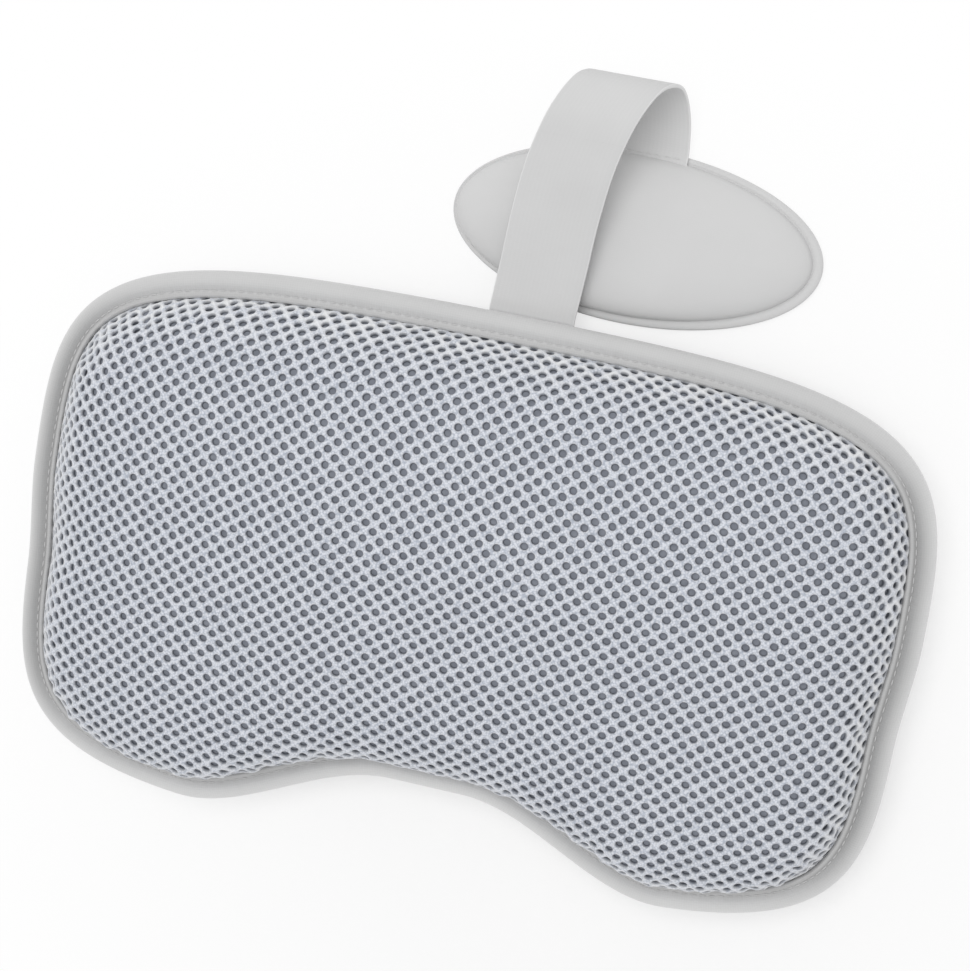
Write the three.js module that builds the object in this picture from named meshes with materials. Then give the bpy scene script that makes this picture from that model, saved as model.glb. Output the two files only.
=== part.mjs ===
// Bath pillow with a looped strap and a counterweight, lying on its flat back.
// Millimetres, +Z up, +Y towards the strap edge, +X to the pillow's right.
// The origin is the middle of the flat back.
import * as THREE from 'three';

// Clearance between touching pieces, and between the layers of the curved crown
const GAP = 0.3;
const LAYER_GAP = 0.5;

// Pillow outline, measured to the outside of the binding
const HALF_WIDTH = 165;
const TOP_REACH = 101;
const TOP_ARCH = 2;
const LOBE_REACH = 101;
const SIDE_TAPER = 2.7;
const TAPER_START = 15;
const TAPER_LENGTH = 40;
const NOTCH_DEPTH = 26;
const NOTCH_FLOOR = 14;
const NOTCH_HALF_WIDTH = 94;
const TOP_CORNER_POWER = 4.4;
const LOBE_CORNER_POWER = 4.6;
const OUTLINE_COUNT = 56;

// Spine that the crown's rings close in on
const SPINE_HALF_WIDTH = 88;
const SPINE_Y = 10;

// Cloth layers of the pillow
const MESH_THICKNESS = 3;
const MESH_FLANGE_THICKNESS = 1.7;
const LINER_THICKNESS = 0.6;
const BACK_THICKNESS = 1;

// Seam and binding
const SEAM_HEIGHT = 14;
const BINDING_WIDTH = 9.5;
const TAPE_THICKNESS = 1.2;
const FOLD_DEPTH = 1.5;
const FOLD_HALF_HEIGHT = 1.6;
const ROLL_INSET = 1.4;
const ROLL_RISE = 1.1;
const RIB_WIDTH = 2;
const RIB_RISE = 1;
const GROOVE_WIDTH = 1.2;
const THREAD_RADIUS = 0.4;
const THREAD_SIDES = 5;

// Crown of the mesh: a quick rise from the seam, then a long gentle slope to the spine
const CROWN_TOP = 47.5;
const CROWN_END_FALL = 0.12;
const EDGE_RISE_SHARE = 0.55;
const EDGE_REACH = 6.5;
const SLOPE_POWER = 1.6;
const EDGE_STEPS = [0, 1.8, 4.2, 8, 14.5];
const SLOPE_SHARES = [0.15, 0.45, 0.8];

// The mesh bulges out over the seam along the lower edge, most of all across the notch
const LOWER_BULGE = 6;
const NOTCH_BULGE = 4;
const BULGE_POWER = 3;
const BULGE_RISE = 4;
const BULGE_FADE = 40;

// Back: a flat that rests on the bath, and a ramp up to the seam
const RAMP_INSET = 14.5;
const RAMP_MID_SHARE = 0.18;
const RAMP_END_SHARE = 0.36;
const RAMP_MID_HEIGHT = 5;

// Strap
const STRAP_WIDTH = 31;
const STRAP_THICKNESS = 1.4;
const STRAP_X = 8.5;
const HINGE_GAP = 0.8;
const ROOT_OVERHANG = 1.5;
const TAIL_LENGTH = 35;
const TAIL_GAP = 0.5;
const STRAP_STEP = 6;
const END_ANGLES = [25, 50, 90];

// Strap route, chosen by hand: offsets from the root hinge, then from the weight's hinge
const LEAD_POINTS = [[2, 16.5, 5], [4.3, 37.5, 11]];
const LOOP_POINTS = [
  [-20.5, -7, 23.5],
  [-14.8, 10.5, 27],
  [-9.2, 20.9, 23.6],
  [-5.2, 22.9, 15.7],
  [-3, 19.3, 7.2],
  [-1, 10.6, 2.3],
];

// Counterweight
const WEIGHT_HALF_LENGTH = 66.6;
const WEIGHT_HALF_DEPTH = 31;
const WEIGHT_X = 38.9;
const WEIGHT_SPACING = 2.6;
const WEIGHT_COUNT = 44;
const WEIGHT_CLOTH = 1;
const WEIGHT_FLANGE = 4.5;
const WEIGHT_TOP = 9.6;
const WEIGHT_WALL_RISE = 1.6;
const WEIGHT_CROWN_POWER = 2.4;
const WEIGHT_CROWN_STEPS = 4;
const WEIGHT_CROWN_LAST_ANGLE = 84;
const BALLAST_INSET = 8.4;
const BALLAST_THICKNESS = 4;
const PAD_STEP_IN = 2;
const PAD_CROWN_POWER = 2;
const TAB_X = 37;
const TAB_LAP = 3.9;
const TAB_OVERHANG = 1.2;

// Heights stacked up from the seam
const STACK = BACK_THICKNESS + LINER_THICKNESS + MESH_FLANGE_THICKNESS + 4 * GAP;
const SLOT_LOW = SEAM_HEIGHT - STACK / 2;
const SLOT_HIGH = SEAM_HEIGHT + STACK / 2;
const BACK_LOW = SLOT_LOW + GAP;
const BACK_HIGH = BACK_LOW + BACK_THICKNESS;
const LINER_LOW = BACK_HIGH + GAP;
const LINER_HIGH = LINER_LOW + LINER_THICKNESS;
const MESH_LOW = LINER_HIGH + GAP;
const MESH_HIGH = MESH_LOW + MESH_FLANGE_THICKNESS;
const BINDING_LOW = SLOT_LOW - TAPE_THICKNESS;
const BINDING_HIGH = SLOT_HIGH + TAPE_THICKNESS;
const NECK_HIGH = BINDING_HIGH + RIB_RISE;
const FLANGE_INSET = FOLD_DEPTH + GAP;
const NECK_INSET = BINDING_WIDTH + GAP;

const radians = THREE.MathUtils.degToRad;
const smoothstep = THREE.MathUtils.smoothstep;
const signedPower = (value, power) => Math.sign(value) * Math.abs(value) ** power;

// Points spaced evenly along a closed curve, each with its inward normal and its spine point
function closedOutline(curve, count, spine) {
  const dense = [];
  const samples = 4000;
  for (let i = 0; i <= samples; i += 1) dense.push(curve((2 * Math.PI * i) / samples));
  const lengths = [0];
  for (let i = 1; i <= samples; i += 1) lengths.push(lengths[i - 1] + dense[i].distanceTo(dense[i - 1]));
  const spaced = [];
  let at = 1;
  for (let k = 0; k < count; k += 1) {
    const target = (lengths[samples] * k) / count;
    while (lengths[at] < target) at += 1;
    const share = (target - lengths[at - 1]) / (lengths[at] - lengths[at - 1]);
    spaced.push(dense[at - 1].clone().lerp(dense[at], share));
  }
  return spaced.map((point, k) => {
    const along = spaced[(k + 1) % count].clone().sub(spaced[(k + count - 1) % count]).normalize();
    return { point, inward: new THREE.Vector2(-along.y, along.x), spine: spine(point) };
  });
}

// A closed ring of points: inset along the normal, then a share of the way to the spine
function ring(outline, inset, height, share = 0) {
  return outline.map(({ point, inward, spine }) => {
    const flat = point.clone().addScaledVector(inward, inset).lerp(spine, share);
    return new THREE.Vector3(flat.x, flat.y, height);
  });
}

// Solid skinned over rings of equal count; an open run is capped, a closed run joins its ends
function skin(rings, closed = false) {
  const count = rings[0].length;
  const positions = rings.flat().flatMap((point) => point.toArray());
  const index = [];
  const runs = closed ? rings.length : rings.length - 1;
  for (let r = 0; r < runs; r += 1) {
    const lower = r * count;
    const upper = ((r + 1) % rings.length) * count;
    for (let k = 0; k < count; k += 1) {
      const next = (k + 1) % count;
      index.push(lower + k, lower + next, upper + next, lower + k, upper + next, upper + k);
    }
  }
  if (!closed) {
    const last = (rings.length - 1) * count;
    for (const [a, b, c] of ladder(count)) index.push(c, b, a, last + a, last + b, last + c);
  }
  return finished(positions, index);
}

// Triangles that close a ring, laid across it like the rungs of a ladder
function ladder(count) {
  const triangles = [];
  for (let near = 0; near < count / 2; near += 1) {
    const far = count - near;
    if (near > 0) triangles.push([near, far - 1, far]);
    if (near + 1 < far - 1) triangles.push([near, near + 1, far - 1]);
  }
  return triangles;
}

// Geometry with its faces turned outwards
function finished(positions, index) {
  let volume = 0;
  const corner = (i) => new THREE.Vector3().fromArray(positions, index[i] * 3);
  for (let i = 0; i < index.length; i += 3) {
    volume += corner(i).dot(corner(i + 1).cross(corner(i + 2)));
  }
  if (volume < 0) index.reverse();
  const geometry = new THREE.BufferGeometry();
  geometry.setAttribute('position', new THREE.Float32BufferAttribute(positions, 3));
  geometry.setIndex(index);
  geometry.computeVertexNormals();
  return geometry;
}

// Flat strap along a curve, its width along X, with rounded ends so that it can fold
function ribbon(curve, from, to) {
  const half = STRAP_THICKNESS / 2;
  const total = curve.getLength();
  const stations = [];
  const tips = END_ANGLES.map(radians).map((turn) => [half * (1 - Math.cos(turn)), half * Math.sin(turn)]);
  for (const [along, thick] of tips) stations.push([from + along, thick]);
  const middle = Math.max(2, Math.ceil((to - from) / STRAP_STEP));
  const step = (to - from - STRAP_THICKNESS) / middle;
  for (let k = 1; k < middle; k += 1) stations.push([from + half + step * k, half]);
  for (const [along, thick] of [...tips].reverse()) stations.push([to - along, thick]);
  const across = new THREE.Vector3(STRAP_WIDTH / 2, 0, 0);
  const rings = stations.map(([distance, thick]) => {
    const middlePoint = curve.getPointAt(distance / total);
    const normal = new THREE.Vector3(1, 0, 0).cross(curve.getTangentAt(distance / total)).setLength(thick);
    return [[-1, -1], [1, -1], [1, 1], [-1, 1]].map(([side, face]) => (
      middlePoint.clone().addScaledVector(across, side).addScaledVector(normal, face)));
  });
  return sleeve(rings);
}

// Solid skinned over four-cornered sections, with flat ends
function sleeve(rings) {
  const positions = rings.flat().flatMap((point) => point.toArray());
  const index = [];
  const last = (rings.length - 1) * 4;
  for (let r = 0; r < last; r += 4) {
    for (let k = 0; k < 4; k += 1) {
      const next = (k + 1) % 4;
      index.push(r + k, r + next, r + 4 + next, r + k, r + 4 + next, r + 4 + k);
    }
  }
  index.push(0, 2, 1, 0, 3, 2, last, last + 1, last + 2, last, last + 2, last + 3);
  return finished(positions, index);
}

// How far into the notch a point of the long lower edge lies, from 0 to 1
function notchShare(x, up) {
  return up < 0 ? 1 - smoothstep(Math.abs(x), NOTCH_FLOOR, NOTCH_HALF_WIDTH) : 0;
}

// Rounded rectangle with an arched upper edge, sides that taper downwards and a notch below
function pillowCurve(angle) {
  const across = Math.cos(angle);
  const up = Math.sin(angle);
  const power = 2 / (up > 0 ? TOP_CORNER_POWER : LOBE_CORNER_POWER);
  const x = HALF_WIDTH * signedPower(across, power);
  const y = (up > 0 ? TOP_REACH - TOP_ARCH : LOBE_REACH) * signedPower(up, power);
  const taper = 1 - (SIDE_TAPER / HALF_WIDTH) * smoothstep(TAPER_START - y, 0, TAPER_LENGTH);
  const arch = up > 0 ? TOP_ARCH * Math.cos((Math.PI * x) / (2 * HALF_WIDTH)) ** 2 : 0;
  return new THREE.Vector2(x * taper, y + arch + NOTCH_DEPTH * notchShare(x, up));
}

const pillowSpine = (point) => new THREE.Vector2((SPINE_HALF_WIDTH * point.x) / HALF_WIDTH, SPINE_Y);
const pillowOutline = closedOutline(pillowCurve, OUTLINE_COUNT, pillowSpine);

// Rise of the mesh's face at a distance from its neck, as a share, and its steepness there
function crownRise(distance, reach) {
  const left = 1 - distance / reach;
  const fade = Math.exp(-distance / EDGE_REACH);
  const slopeShare = 1 - EDGE_RISE_SHARE;
  const edgeSlope = (EDGE_RISE_SHARE * fade) / EDGE_REACH;
  return {
    rise: EDGE_RISE_SHARE * (1 - fade) + slopeShare * (1 - left ** SLOPE_POWER),
    slope: edgeSlope + (slopeShare * SLOPE_POWER * left ** (SLOPE_POWER - 1)) / reach,
  };
}

// Outward bulge at a distance from the neck, as a share of the most, and its rate there
function edgeSwell(distance) {
  const start = Math.exp(-distance / BULGE_RISE);
  const fade = Math.exp(-distance / BULGE_FADE);
  return { swell: (1 - start) * fade, rate: fade * (start / BULGE_RISE - (1 - start) / BULGE_FADE) };
}

// Point of the crown on one spoke, at a depth square to the mesh's face
function crownPoint({ point, inward, spine }, depth, step, share) {
  const neck = point.clone().addScaledVector(inward, NECK_INSET);
  const reach = neck.distanceTo(spine);
  const distance = step + (reach - step) * share;
  const high = (CROWN_TOP - NECK_HIGH) * (1 - CROWN_END_FALL * (point.x / HALF_WIDTH) ** 2);
  const facingDown = Math.max(0, inward.y) ** BULGE_POWER;
  const bulge = LOWER_BULGE * facingDown + NOTCH_BULGE * notchShare(point.x, point.y);
  const { rise, slope } = crownRise(distance, reach);
  const { swell, rate } = edgeSwell(distance);
  const angle = Math.atan2(high * slope, 1 - bulge * rate);
  const flat = neck.lerp(spine, (distance - bulge * swell + depth * Math.sin(angle)) / reach);
  return new THREE.Vector3(flat.x, flat.y, NECK_HIGH + high * rise - depth * Math.cos(angle));
}

// Rings of the crown at a depth below the mesh's face, from its neck up to its cap
function pillowCrown(depth) {
  const last = EDGE_STEPS.at(-1);
  const rows = [...EDGE_STEPS.map((step) => [step, 0]), ...SLOPE_SHARES.map((share) => [last, share])];
  return rows.map(([step, share]) => pillowOutline.map((spoke) => crownPoint(spoke, depth, step, share)));
}

// Depths of the layers below the mesh's face
const LINER_TOP_DEPTH = MESH_THICKNESS + LAYER_GAP;
const LINER_DEPTH = LINER_TOP_DEPTH + LINER_THICKNESS;
const FILLING_DEPTH = LINER_DEPTH + LAYER_GAP;

function meshCover() {
  return skin([
    ...pillowCrown(MESH_THICKNESS).reverse(),
    ring(pillowOutline, NECK_INSET + MESH_THICKNESS, MESH_LOW),
    ring(pillowOutline, FLANGE_INSET, MESH_LOW),
    ring(pillowOutline, FLANGE_INSET, MESH_HIGH),
    ring(pillowOutline, NECK_INSET, MESH_HIGH),
    ...pillowCrown(0),
  ]);
}

function linerCloth() {
  return skin([
    ...pillowCrown(LINER_DEPTH).reverse(),
    ring(pillowOutline, NECK_INSET + LINER_DEPTH, LINER_LOW),
    ring(pillowOutline, FLANGE_INSET, LINER_LOW),
    ring(pillowOutline, FLANGE_INSET, LINER_HIGH),
    ring(pillowOutline, NECK_INSET + LINER_TOP_DEPTH, LINER_HIGH),
    ...pillowCrown(LINER_TOP_DEPTH),
  ]);
}

// The back's ramp and flat, raised by a lift; the filling sits on it
function backRings(lift) {
  return [
    ring(pillowOutline, RAMP_INSET, RAMP_MID_HEIGHT + lift, RAMP_MID_SHARE),
    ring(pillowOutline, RAMP_INSET, lift, RAMP_END_SHARE),
  ];
}

function filling() {
  return skin([
    ...backRings(BACK_THICKNESS + GAP).reverse(),
    ring(pillowOutline, RAMP_INSET, BACK_HIGH + GAP),
    ...pillowCrown(FILLING_DEPTH),
  ]);
}

function backPanel() {
  return skin([
    ...backRings(0).reverse(),
    ring(pillowOutline, RAMP_INSET, BACK_LOW),
    ring(pillowOutline, FLANGE_INSET, BACK_LOW),
    ring(pillowOutline, FLANGE_INSET, BACK_HIGH),
    ring(pillowOutline, RAMP_INSET, BACK_HIGH),
    ...backRings(BACK_THICKNESS),
  ]);
}

// Tape folded round the raw edges: a roll outside, a thread groove and a rib beside the mesh
const GROOVE_INNER = BINDING_WIDTH - RIB_WIDTH;
const GROOVE_OUTER = GROOVE_INNER - GROOVE_WIDTH;

function edgeBinding() {
  const section = [
    [BINDING_WIDTH, SLOT_HIGH],
    [BINDING_WIDTH, BINDING_HIGH + RIB_RISE / 2],
    [BINDING_WIDTH - RIB_WIDTH / 2, BINDING_HIGH + RIB_RISE],
    [GROOVE_INNER, BINDING_HIGH],
    [GROOVE_OUTER, BINDING_HIGH],
    [(GROOVE_OUTER + ROLL_INSET) / 2, BINDING_HIGH + ROLL_RISE],
    [ROLL_INSET, BINDING_HIGH],
    [0, SEAM_HEIGHT + FOLD_HALF_HEIGHT],
    [0, SEAM_HEIGHT - FOLD_HALF_HEIGHT],
    [ROLL_INSET, BINDING_LOW],
    [BINDING_WIDTH, BINDING_LOW],
    [BINDING_WIDTH, SLOT_LOW],
    [FOLD_DEPTH, SLOT_LOW],
    [FOLD_DEPTH, SLOT_HIGH],
  ];
  return skin(section.map(([inset, height]) => ring(pillowOutline, inset, height)), true);
}

function bindingThread() {
  const inset = (GROOVE_INNER + GROOVE_OUTER) / 2;
  const height = BINDING_HIGH + GAP + THREAD_RADIUS;
  const rings = [];
  for (let k = 0; k < THREAD_SIDES; k += 1) {
    const angle = (2 * Math.PI * k) / THREAD_SIDES;
    const sideways = THREAD_RADIUS * Math.cos(angle);
    rings.push(ring(pillowOutline, inset - sideways, height + THREAD_RADIUS * Math.sin(angle)));
  }
  return skin(rings, true);
}

// Counterweight, set behind the strap edge
const WEIGHT_Y = TOP_REACH + WEIGHT_SPACING + WEIGHT_HALF_DEPTH;
const WEIGHT_RIM_LOW = WEIGHT_CLOTH + GAP;
const WEIGHT_RIM_HIGH = WEIGHT_RIM_LOW + WEIGHT_CLOTH;
const BALLAST_TOP = WEIGHT_RIM_LOW + BALLAST_THICKNESS;

function weightCurve(angle) {
  return new THREE.Vector2(
    WEIGHT_X + WEIGHT_HALF_LENGTH * Math.cos(angle),
    WEIGHT_Y + WEIGHT_HALF_DEPTH * Math.sin(angle),
  );
}

function weightSpine(point) {
  const reach = WEIGHT_HALF_LENGTH - WEIGHT_HALF_DEPTH;
  return new THREE.Vector2(WEIGHT_X + (reach * (point.x - WEIGHT_X)) / WEIGHT_HALF_LENGTH, WEIGHT_Y);
}

const weightOutline = closedOutline(weightCurve, WEIGHT_COUNT, weightSpine);

// Rings of the weight's crown at a depth below its face, from its wall up to its cap
function weightCrown(inset, low, depth, power = WEIGHT_CROWN_POWER) {
  const rings = [];
  for (let k = 0; k <= WEIGHT_CROWN_STEPS; k += 1) {
    const angle = radians((WEIGHT_CROWN_LAST_ANGLE * k) / WEIGHT_CROWN_STEPS);
    const share = 1 - Math.cos(angle) ** (2 / power);
    const lift = Math.sin(angle) ** (2 / power);
    rings.push(ring(weightOutline, inset, low + (WEIGHT_TOP - depth - low) * lift, share));
  }
  return rings;
}

function weightTopPanel() {
  const wallTop = WEIGHT_RIM_HIGH + WEIGHT_WALL_RISE;
  return skin([
    ...weightCrown(WEIGHT_FLANGE + WEIGHT_CLOTH, wallTop - WEIGHT_CLOTH, WEIGHT_CLOTH).reverse(),
    ring(weightOutline, WEIGHT_FLANGE + WEIGHT_CLOTH, WEIGHT_RIM_LOW),
    ring(weightOutline, 0, WEIGHT_RIM_LOW),
    ring(weightOutline, 0, WEIGHT_RIM_HIGH),
    ring(weightOutline, WEIGHT_FLANGE, WEIGHT_RIM_HIGH),
    ...weightCrown(WEIGHT_FLANGE, wallTop, 0),
  ]);
}

function weightBottomPanel() {
  return skin([ring(weightOutline, 0, 0), ring(weightOutline, 0, WEIGHT_CLOTH)]);
}

function ballastPlate() {
  return skin([
    ring(weightOutline, BALLAST_INSET, WEIGHT_RIM_LOW),
    ring(weightOutline, BALLAST_INSET, BALLAST_TOP),
  ]);
}

function weightPad() {
  const inset = BALLAST_INSET + PAD_STEP_IN;
  return skin(weightCrown(inset, BALLAST_TOP + GAP, WEIGHT_CLOTH + GAP, PAD_CROWN_POWER));
}

// Strap, from the tail sewn under the pillow's edge to the tab on the weight's flange
const ROOT = new THREE.Vector3(STRAP_X, TOP_REACH + ROOT_OVERHANG, BINDING_LOW - GAP - STRAP_THICKNESS / 2);
const TAB_HEIGHT = WEIGHT_RIM_HIGH + GAP + STRAP_THICKNESS / 2;
const WEIGHT_EDGE = WEIGHT_Y + WEIGHT_HALF_DEPTH;
const TAB_HINGE = new THREE.Vector3(TAB_X, WEIGHT_EDGE + TAB_OVERHANG, TAB_HEIGHT);
const strapRoute = new THREE.CatmullRomCurve3([
  ROOT,
  ...LEAD_POINTS.map((offset) => new THREE.Vector3(...offset).add(ROOT)),
  ...LOOP_POINTS.map((offset) => new THREE.Vector3(...offset).add(TAB_HINGE)),
  TAB_HINGE,
], false, 'centripetal');

// Distance along the route of its farthest point, where the loop turns back
function crestDistance() {
  let best = 0;
  const samples = 2000;
  for (let k = 0; k <= samples; k += 1) {
    if (strapRoute.getPointAt(k / samples).y > strapRoute.getPointAt(best).y) best = k / samples;
  }
  return best * strapRoute.getLength();
}

const crest = crestDistance();
const strapLeg = (from, to) => ribbon(strapRoute, from + HINGE_GAP / 2, to - HINGE_GAP / 2);

// The tail runs flat under the binding, then down along the back's ramp
function strapTail() {
  const rampTop = TOP_REACH - RAMP_INSET;
  const rampMid = rampTop - (rampTop - SPINE_Y) * RAMP_MID_SHARE;
  const slope = (BACK_LOW - RAMP_MID_HEIGHT) / (rampTop - rampMid);
  const drop = (STRAP_THICKNESS / 2 + TAIL_GAP) * Math.hypot(1, slope);
  const onRamp = (y) => BACK_LOW - (rampTop - y) * slope - drop;
  const bendY = rampTop - (BACK_LOW - drop - ROOT.z) / slope;
  const endY = Math.max(rampMid, ROOT.y - TAIL_LENGTH);
  const path = new THREE.CurvePath();
  const start = new THREE.Vector3(STRAP_X, endY, onRamp(endY));
  const bend = new THREE.Vector3(STRAP_X, bendY, ROOT.z);
  path.add(new THREE.LineCurve3(start, bend));
  path.add(new THREE.LineCurve3(bend, ROOT));
  return ribbon(path, 0, path.getLength() - HINGE_GAP / 2);
}

function strapEndTab() {
  const end = TAB_HINGE.clone().setY(WEIGHT_EDGE - TAB_LAP);
  const path = new THREE.LineCurve3(TAB_HINGE, end);
  return ribbon(path, HINGE_GAP / 2, path.getLength());
}

// Stitch across the tab, holding it to the flange
function tabThread() {
  const radius = THREAD_RADIUS;
  const height = TAB_HEIGHT + STRAP_THICKNESS / 2 + GAP + radius;
  const geometry = new THREE.CylinderGeometry(radius, radius, STRAP_WIDTH - 2 * RIB_WIDTH, THREAD_SIDES);
  geometry.rotateZ(Math.PI / 2);
  geometry.translate(TAB_X, WEIGHT_EDGE - TAB_LAP / 2, height);
  return geometry;
}

const part = new THREE.Group();

function add(name, geometry, color, roughness, metalness = 0) {
  const mesh = new THREE.Mesh(geometry, new THREE.MeshStandardMaterial({ color, roughness, metalness }));
  mesh.name = name;
  part.add(mesh);
}

const MESH_WHITE = 0xd8dde8;
const LINER_GREY = 0x6d717b;
const FIBRE_WHITE = 0xf0f0ec;
const TAPE_GREY = 0xc8c9c7;
const STRAP_GREY = 0xd2d2d2;
const STEEL_GREY = 0x8a8d90;
const SOFT = 0.9;
const SATIN = 0.6;
const ROLLED = 0.5;
const METAL = 1;

add('mesh_cover', meshCover(), MESH_WHITE, SOFT);
add('liner_cloth', linerCloth(), LINER_GREY, SOFT);
add('fibre_filling', filling(), FIBRE_WHITE, SOFT);
add('back_panel', backPanel(), TAPE_GREY, SATIN);
add('edge_binding', edgeBinding(), TAPE_GREY, SOFT);
add('binding_thread', bindingThread(), TAPE_GREY, SOFT);
add('strap_tail', strapTail(), STRAP_GREY, SATIN);
add('strap_front_leg', strapLeg(0, crest), STRAP_GREY, SATIN);
add('strap_rear_leg', strapLeg(crest, strapRoute.getLength()), STRAP_GREY, SATIN);
add('strap_end_tab', strapEndTab(), STRAP_GREY, SATIN);
add('tab_thread', tabThread(), STRAP_GREY, SOFT);
add('weight_top_panel', weightTopPanel(), STRAP_GREY, SATIN);
add('weight_bottom_panel', weightBottomPanel(), STRAP_GREY, SATIN);
add('weight_pad', weightPad(), FIBRE_WHITE, SOFT);
add('ballast_plate', ballastPlate(), STEEL_GREY, ROLLED, METAL);

export default part;
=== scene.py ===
import math

import bmesh
import bpy
import numpy as np
from mathutils import Matrix, Vector
from mathutils.bvhtree import BVHTree


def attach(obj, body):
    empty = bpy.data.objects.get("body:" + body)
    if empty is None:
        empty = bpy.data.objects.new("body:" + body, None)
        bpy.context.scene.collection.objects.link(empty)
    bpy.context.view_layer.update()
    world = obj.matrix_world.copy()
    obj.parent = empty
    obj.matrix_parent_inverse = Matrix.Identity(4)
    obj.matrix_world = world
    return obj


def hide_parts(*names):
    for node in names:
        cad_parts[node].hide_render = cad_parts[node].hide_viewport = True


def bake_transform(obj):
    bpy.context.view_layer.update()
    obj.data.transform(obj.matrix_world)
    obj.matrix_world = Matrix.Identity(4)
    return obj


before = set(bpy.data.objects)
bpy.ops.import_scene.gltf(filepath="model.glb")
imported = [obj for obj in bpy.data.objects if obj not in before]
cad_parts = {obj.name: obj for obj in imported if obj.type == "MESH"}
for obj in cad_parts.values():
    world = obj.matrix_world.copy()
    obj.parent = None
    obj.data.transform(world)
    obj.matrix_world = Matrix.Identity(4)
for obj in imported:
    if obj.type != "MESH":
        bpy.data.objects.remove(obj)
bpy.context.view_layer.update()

# Every size below is in millimetres; meshes are written in metres
MM = 0.001

# Edges that turn more than this many degrees stay sharp
SHARP_ANGLE = 60

# Scale of a wave texture, on metre coordinates, for bands one millimetre apart
WAVE_PER_MM = 1000 * math.pi / 10

# Pillow outline, to the outside of the binding
HALF_WIDTH = 165
TOP_REACH = 101
TOP_ARCH = 2
LOBE_REACH = 101
SIDE_TAPER = 2.7
TAPER_START = 15
TAPER_LENGTH = 40
NOTCH_DEPTH = 26
NOTCH_FLOOR = 14
NOTCH_HALF_WIDTH = 94
TOP_CORNER_POWER = 4.4
LOBE_CORNER_POWER = 4.6
SPINE_HALF_WIDTH = 88
SPINE_Y = 10

# Points on a dense outline, reach along it that gives a normal, and spokes of each ringed piece
CURVE_POINTS = 8001
NORMAL_REACH = 3
FINE_SPOKES = 480
BACK_SPOKES = 240
WEIGHT_SPOKES = 200
CORE_SPOKES = 160

# Crown of the mesh front, over the rows that the binding hides: their inset and height
HIDDEN_ROWS = [(4, 15.85), (8.8, 15.9), (9.6, 16.3), (9.8, 17.4)]
NECK_ROW = len(HIDDEN_ROWS)
NECK_INSET = 9.8
NECK_HIGH = 18.45
CROWN_TOP = 47.5
CROWN_END_FALL = 0.12
EDGE_RISE_SHARE = 0.55
EDGE_REACH = 6.5
SLOPE_POWER = 1.6
LOWER_BULGE = 6
NOTCH_BULGE = 4
BULGE_POWER = 3
BULGE_RISE = 4
BULGE_FADE = 40
EDGE_STEPS = [0, 0.9, 1.8, 3, 4.2, 6, 8, 11, 14.5]
SLOPE_SHARES = [0.07, 0.15, 0.25, 0.35, 0.45, 0.6, 0.8, 1]

# Rows of the back cloth: inset from the edge, height, and share of the way on to the spine
RAMP_INSET = 14.5
BACK_LEVEL_ROWS = [(3, 12.1, 0), (9, 12.05, 0), (12.5, 11.9, 0)]
BACK_SLOPE_ROWS = [(RAMP_INSET, high, share) for high, share in (
    (11.2, 0.02), (8.5, 0.09), (5.2, 0.17), (2.3, 0.25),
    (0.6, 0.32), (0, 0.38), (0, 0.6), (0, 0.85))]
BACK_ROWS = BACK_LEVEL_ROWS + BACK_SLOPE_ROWS

# Spacer mesh: holes on a centred lattice, with the face's thickness and the liner's depth
PITCH_X = 6.25
PITCH_Y = 5.64
LATTICE_TURN = math.radians(-2)
HOLE_HALF_WIDTH = 1.51
HOLE_HALF_HEIGHT = 1.39
HOLE_FOOT_SHARE = 0.8
HOLE_UNEVEN = 0.05
HOLE_STRAY = 0.08
HOLE_SEED = 7
DRIFT_X = [(83, 0.45, 0.7), (47, 0.3, 2.6)]
DRIFT_Y = [(97, 0.45, 2.1), (59, 0.3, 4.4)]
LIP_WIDTH = 0.08
LIP_DEPTH = 0.1
FACE_DEPTH = 1.4
HOLE_SIDES = 12
LINER_DEPTH = 1.6
CORE_DEPTH = 4.2
CORE_LIFT = 1.5
CORE_FIRST_ROW = 7

# Cells are laid a margin beyond the cut, and kept where they lie on it, from its first row up
LATTICE_MARGIN = 3
OFF_CUT = 0.01
FIRST_CELL_ROW = 0.9

# Cloth that the cover is settled with
COVER_COLUMNS = 108
COVER_ROWS = 68
COVER_FRAMES = 20
COVER_PRESSURE = 4
COVER_SLACK = 0.004
COVER_START_DEPTH = 0.4
COVER_HOLD = 0.1
COVER_CAP = 2.5
EASE_PASSES = 3
KNIT_STRETCH = 1.1

# Gathers beside the seam: wavelength and turn of each wave, and how deep they go where
GATHER_WAVES = [(7.3, 0.4), (10.9, 1.9), (17, 3.1)]
GATHER_LOW = 0.4
GATHER_CORNER = 2
GATHER_RIGHT = 1.2
GATHER_MOST = 1.3
GATHER_RISE = 1.5
GATHER_FADE = 9
# How fast the painted highlight beside the seam fades up the flank, in millimetres
SEAM_HIGHLIGHT_FADE = 7

# Strap, with the distances along its route at which it is cut in three
STRAP_WIDTH = 31
STRAP_THICKNESS = 1.4
STRAP_X = 8.5
ROOT = np.array([8.5, 102.5, 9.55])
TAB_HINGE = np.array([37, 166.8, 3.3])
LEAD_POINTS = [[2, 16.5, 5], [4.3, 37.5, 11]]
LOOP_POINTS = [
    [-20.5, -7, 23.5], [-14.8, 10.5, 27], [-9.2, 20.9, 23.6],
    [-5.2, 22.9, 15.7], [-3, 19.3, 7.2], [-1, 10.6, 2.3],
]
TAIL_END_Y = 72.73
TAIL_BEND_Y = 84.25
TAIL_END_Z = 3.65
TAB_END_Y = 161.7
STRAP_STEP = 1.5
STRAP_COLUMNS = 12
STRAP_EDGE_ROUND = 0.45
ROUTE_STEPS = 60
LEAD_LENGTH = 68
LOOP_END = 118

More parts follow.
